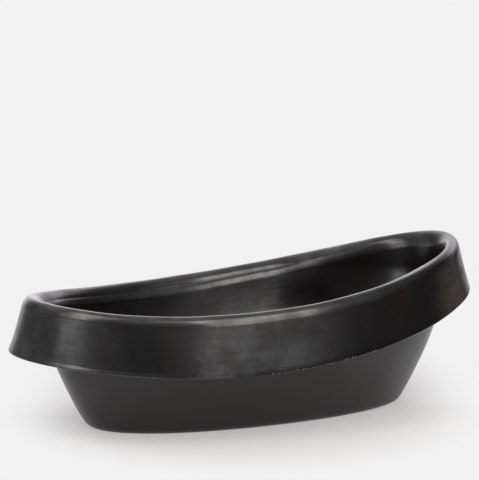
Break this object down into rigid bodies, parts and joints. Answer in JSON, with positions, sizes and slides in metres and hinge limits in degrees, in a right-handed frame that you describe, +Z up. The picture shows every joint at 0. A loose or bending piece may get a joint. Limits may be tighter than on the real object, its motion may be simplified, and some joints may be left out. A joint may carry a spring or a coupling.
{
  "type": "flower pot",
  "caption": "Long oval flower pot with a tapered bowl, a rolled rim that climbs to one end, and a flared collar hanging from the rim over the bowl's side.",
  "frame": {"origin": "middle of the pot on the surface it stands on, under the middle of the collar's outline", "axes": "+X along the pot towards its higher end, +Y across it, +Z up"},
  "size_m": [0.4014, 0.219, 0.1383],
  "materials": {
    "burnished_clay": "burnished satin black earthenware",
    "matt_clay": "matt smoked black earthenware"
  },
  "bodies": {
    "root": {"floor_slab": "matt_clay", "bowl_wall": "matt_clay", "inside_corner_coil": "burnished_clay", "rim_roll": "burnished_clay", "collar_skirt": "burnished_clay", "collar_root_coil": "matt_clay"}
  },
  "joints": []
}
